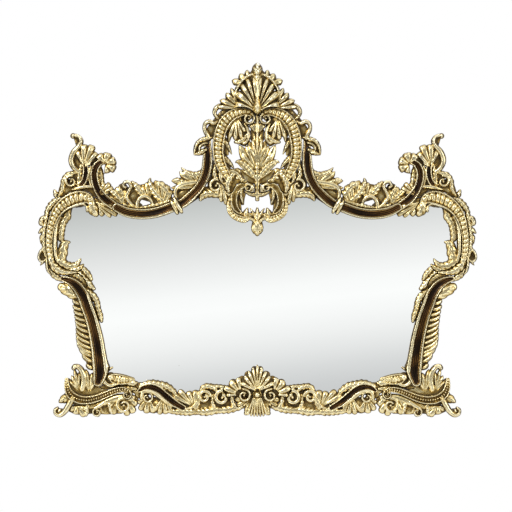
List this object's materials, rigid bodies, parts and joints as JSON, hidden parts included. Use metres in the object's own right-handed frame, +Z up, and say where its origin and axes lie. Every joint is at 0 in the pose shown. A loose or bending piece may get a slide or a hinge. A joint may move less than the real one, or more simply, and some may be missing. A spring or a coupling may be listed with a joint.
{
  "type": "wall mirror",
  "caption": "Overmantel mirror with a shaped glass in a pierced rococo frame of shells, leaves and scrolls, with D-ring hangers on its back.",
  "frame": {"origin": "on the wall plane and the centre line, at the level of the shelf under the feet", "axes": "+X to the right as seen from the front, +Y into the wall, +Z up"},
  "size_m": [1.234, 0.065, 0.994],
  "materials": {
    "cast_brass": "cast, gilded pale and patinated in the hollows",
    "mirror": "silvered float glass",
    "packing": "closed-cell foam sheet",
    "ply": "birch plywood, sawn edge",
    "board": "plywood, plain",
    "rubber": "matt",
    "screw_steel": "zinc plated",
    "hanger_steel": "zinc plated"
  },
  "bodies": {
    "frame": {"mirror_plate": "mirror", "packing_sheet": "packing", "ply_ring": "ply", "back_board": "board", "bumpers": "rubber", "casting_screws": "screw_steel", "board_screws": "screw_steel", "strap_screws": "screw_steel", "hanger_strap_left": "hanger_steel", "hanger_strap_right": "hanger_steel", "crest_shell": "cast_brass", "crest_palmette": "cast_brass", "crest_pendant": "cast_brass", "base_shell": "cast_brass", "crest_scroll_left": "cast_brass", "crest_scroll_right": "cast_brass", "crest_frill_left": "cast_brass", "crest_frill_right": "cast_brass", "crest_rail_left": "cast_brass", "crest_rail_right": "cast_brass", "crest_spray_left": "cast_brass", "crest_spray_right": "cast_brass", "crest_wing_left": "cast_brass", "crest_wing_right": "cast_brass", "rail_collar_left": "cast_brass", "rail_collar_right": "cast_brass", "top_rail_left": "cast_brass", "top_rail_right": "cast_brass", "rail_leaves_left": "cast_brass", "rail_leaves_right": "cast_brass", "ear_hook_left": "cast_brass", "ear_hook_right": "cast_brass", "ear_flame_left": "cast_brass", "ear_flame_right": "cast_brass", "shoulder_scroll_left": "cast_brass", "shoulder_scroll_right": "cast_brass", "shoulder_leaves_left": "cast_brass", "shoulder_leaves_right": "cast_brass", "shoulder_frill_left": "cast_brass", "shoulder_frill_right": "cast_brass", "leg_channel_left": "cast_brass", "leg_channel_right": "cast_brass", "leg_wave_left": "cast_brass", "leg_wave_right": "cast_brass", "leg_feather_left": "cast_brass", "leg_feather_right": "cast_brass", "foot_scroll_left": "cast_brass", "foot_scroll_right": "cast_brass", "foot_flame_left": "cast_brass", "foot_flame_right": "cast_brass", "foot_curl_left": "cast_brass", "foot_curl_right": "cast_brass", "foot_lobes_left": "cast_brass", "foot_lobes_right": "cast_brass", "base_rail_left": "cast_brass", "base_rail_right": "cast_brass"},
    "hanger_ring_left": {"hanger_ring_left": "hanger_steel"},
    "hanger_ring_right": {"hanger_ring_right": "hanger_steel"}
  },
  "joints": [
    {"name": "swing_left", "type": "hinge", "parent": "frame", "child": "hanger_ring_left", "pos_m": [-0.57, -0.0051, 0.528], "axis": [1, 0, 0], "range_deg": [0, 175]},
    {"name": "swing_right", "type": "hinge", "parent": "frame", "child": "hanger_ring_right", "pos_m": [0.57, -0.0051, 0.528], "axis": [1, 0, 0], "range_deg": [0, 175]}
  ]
}
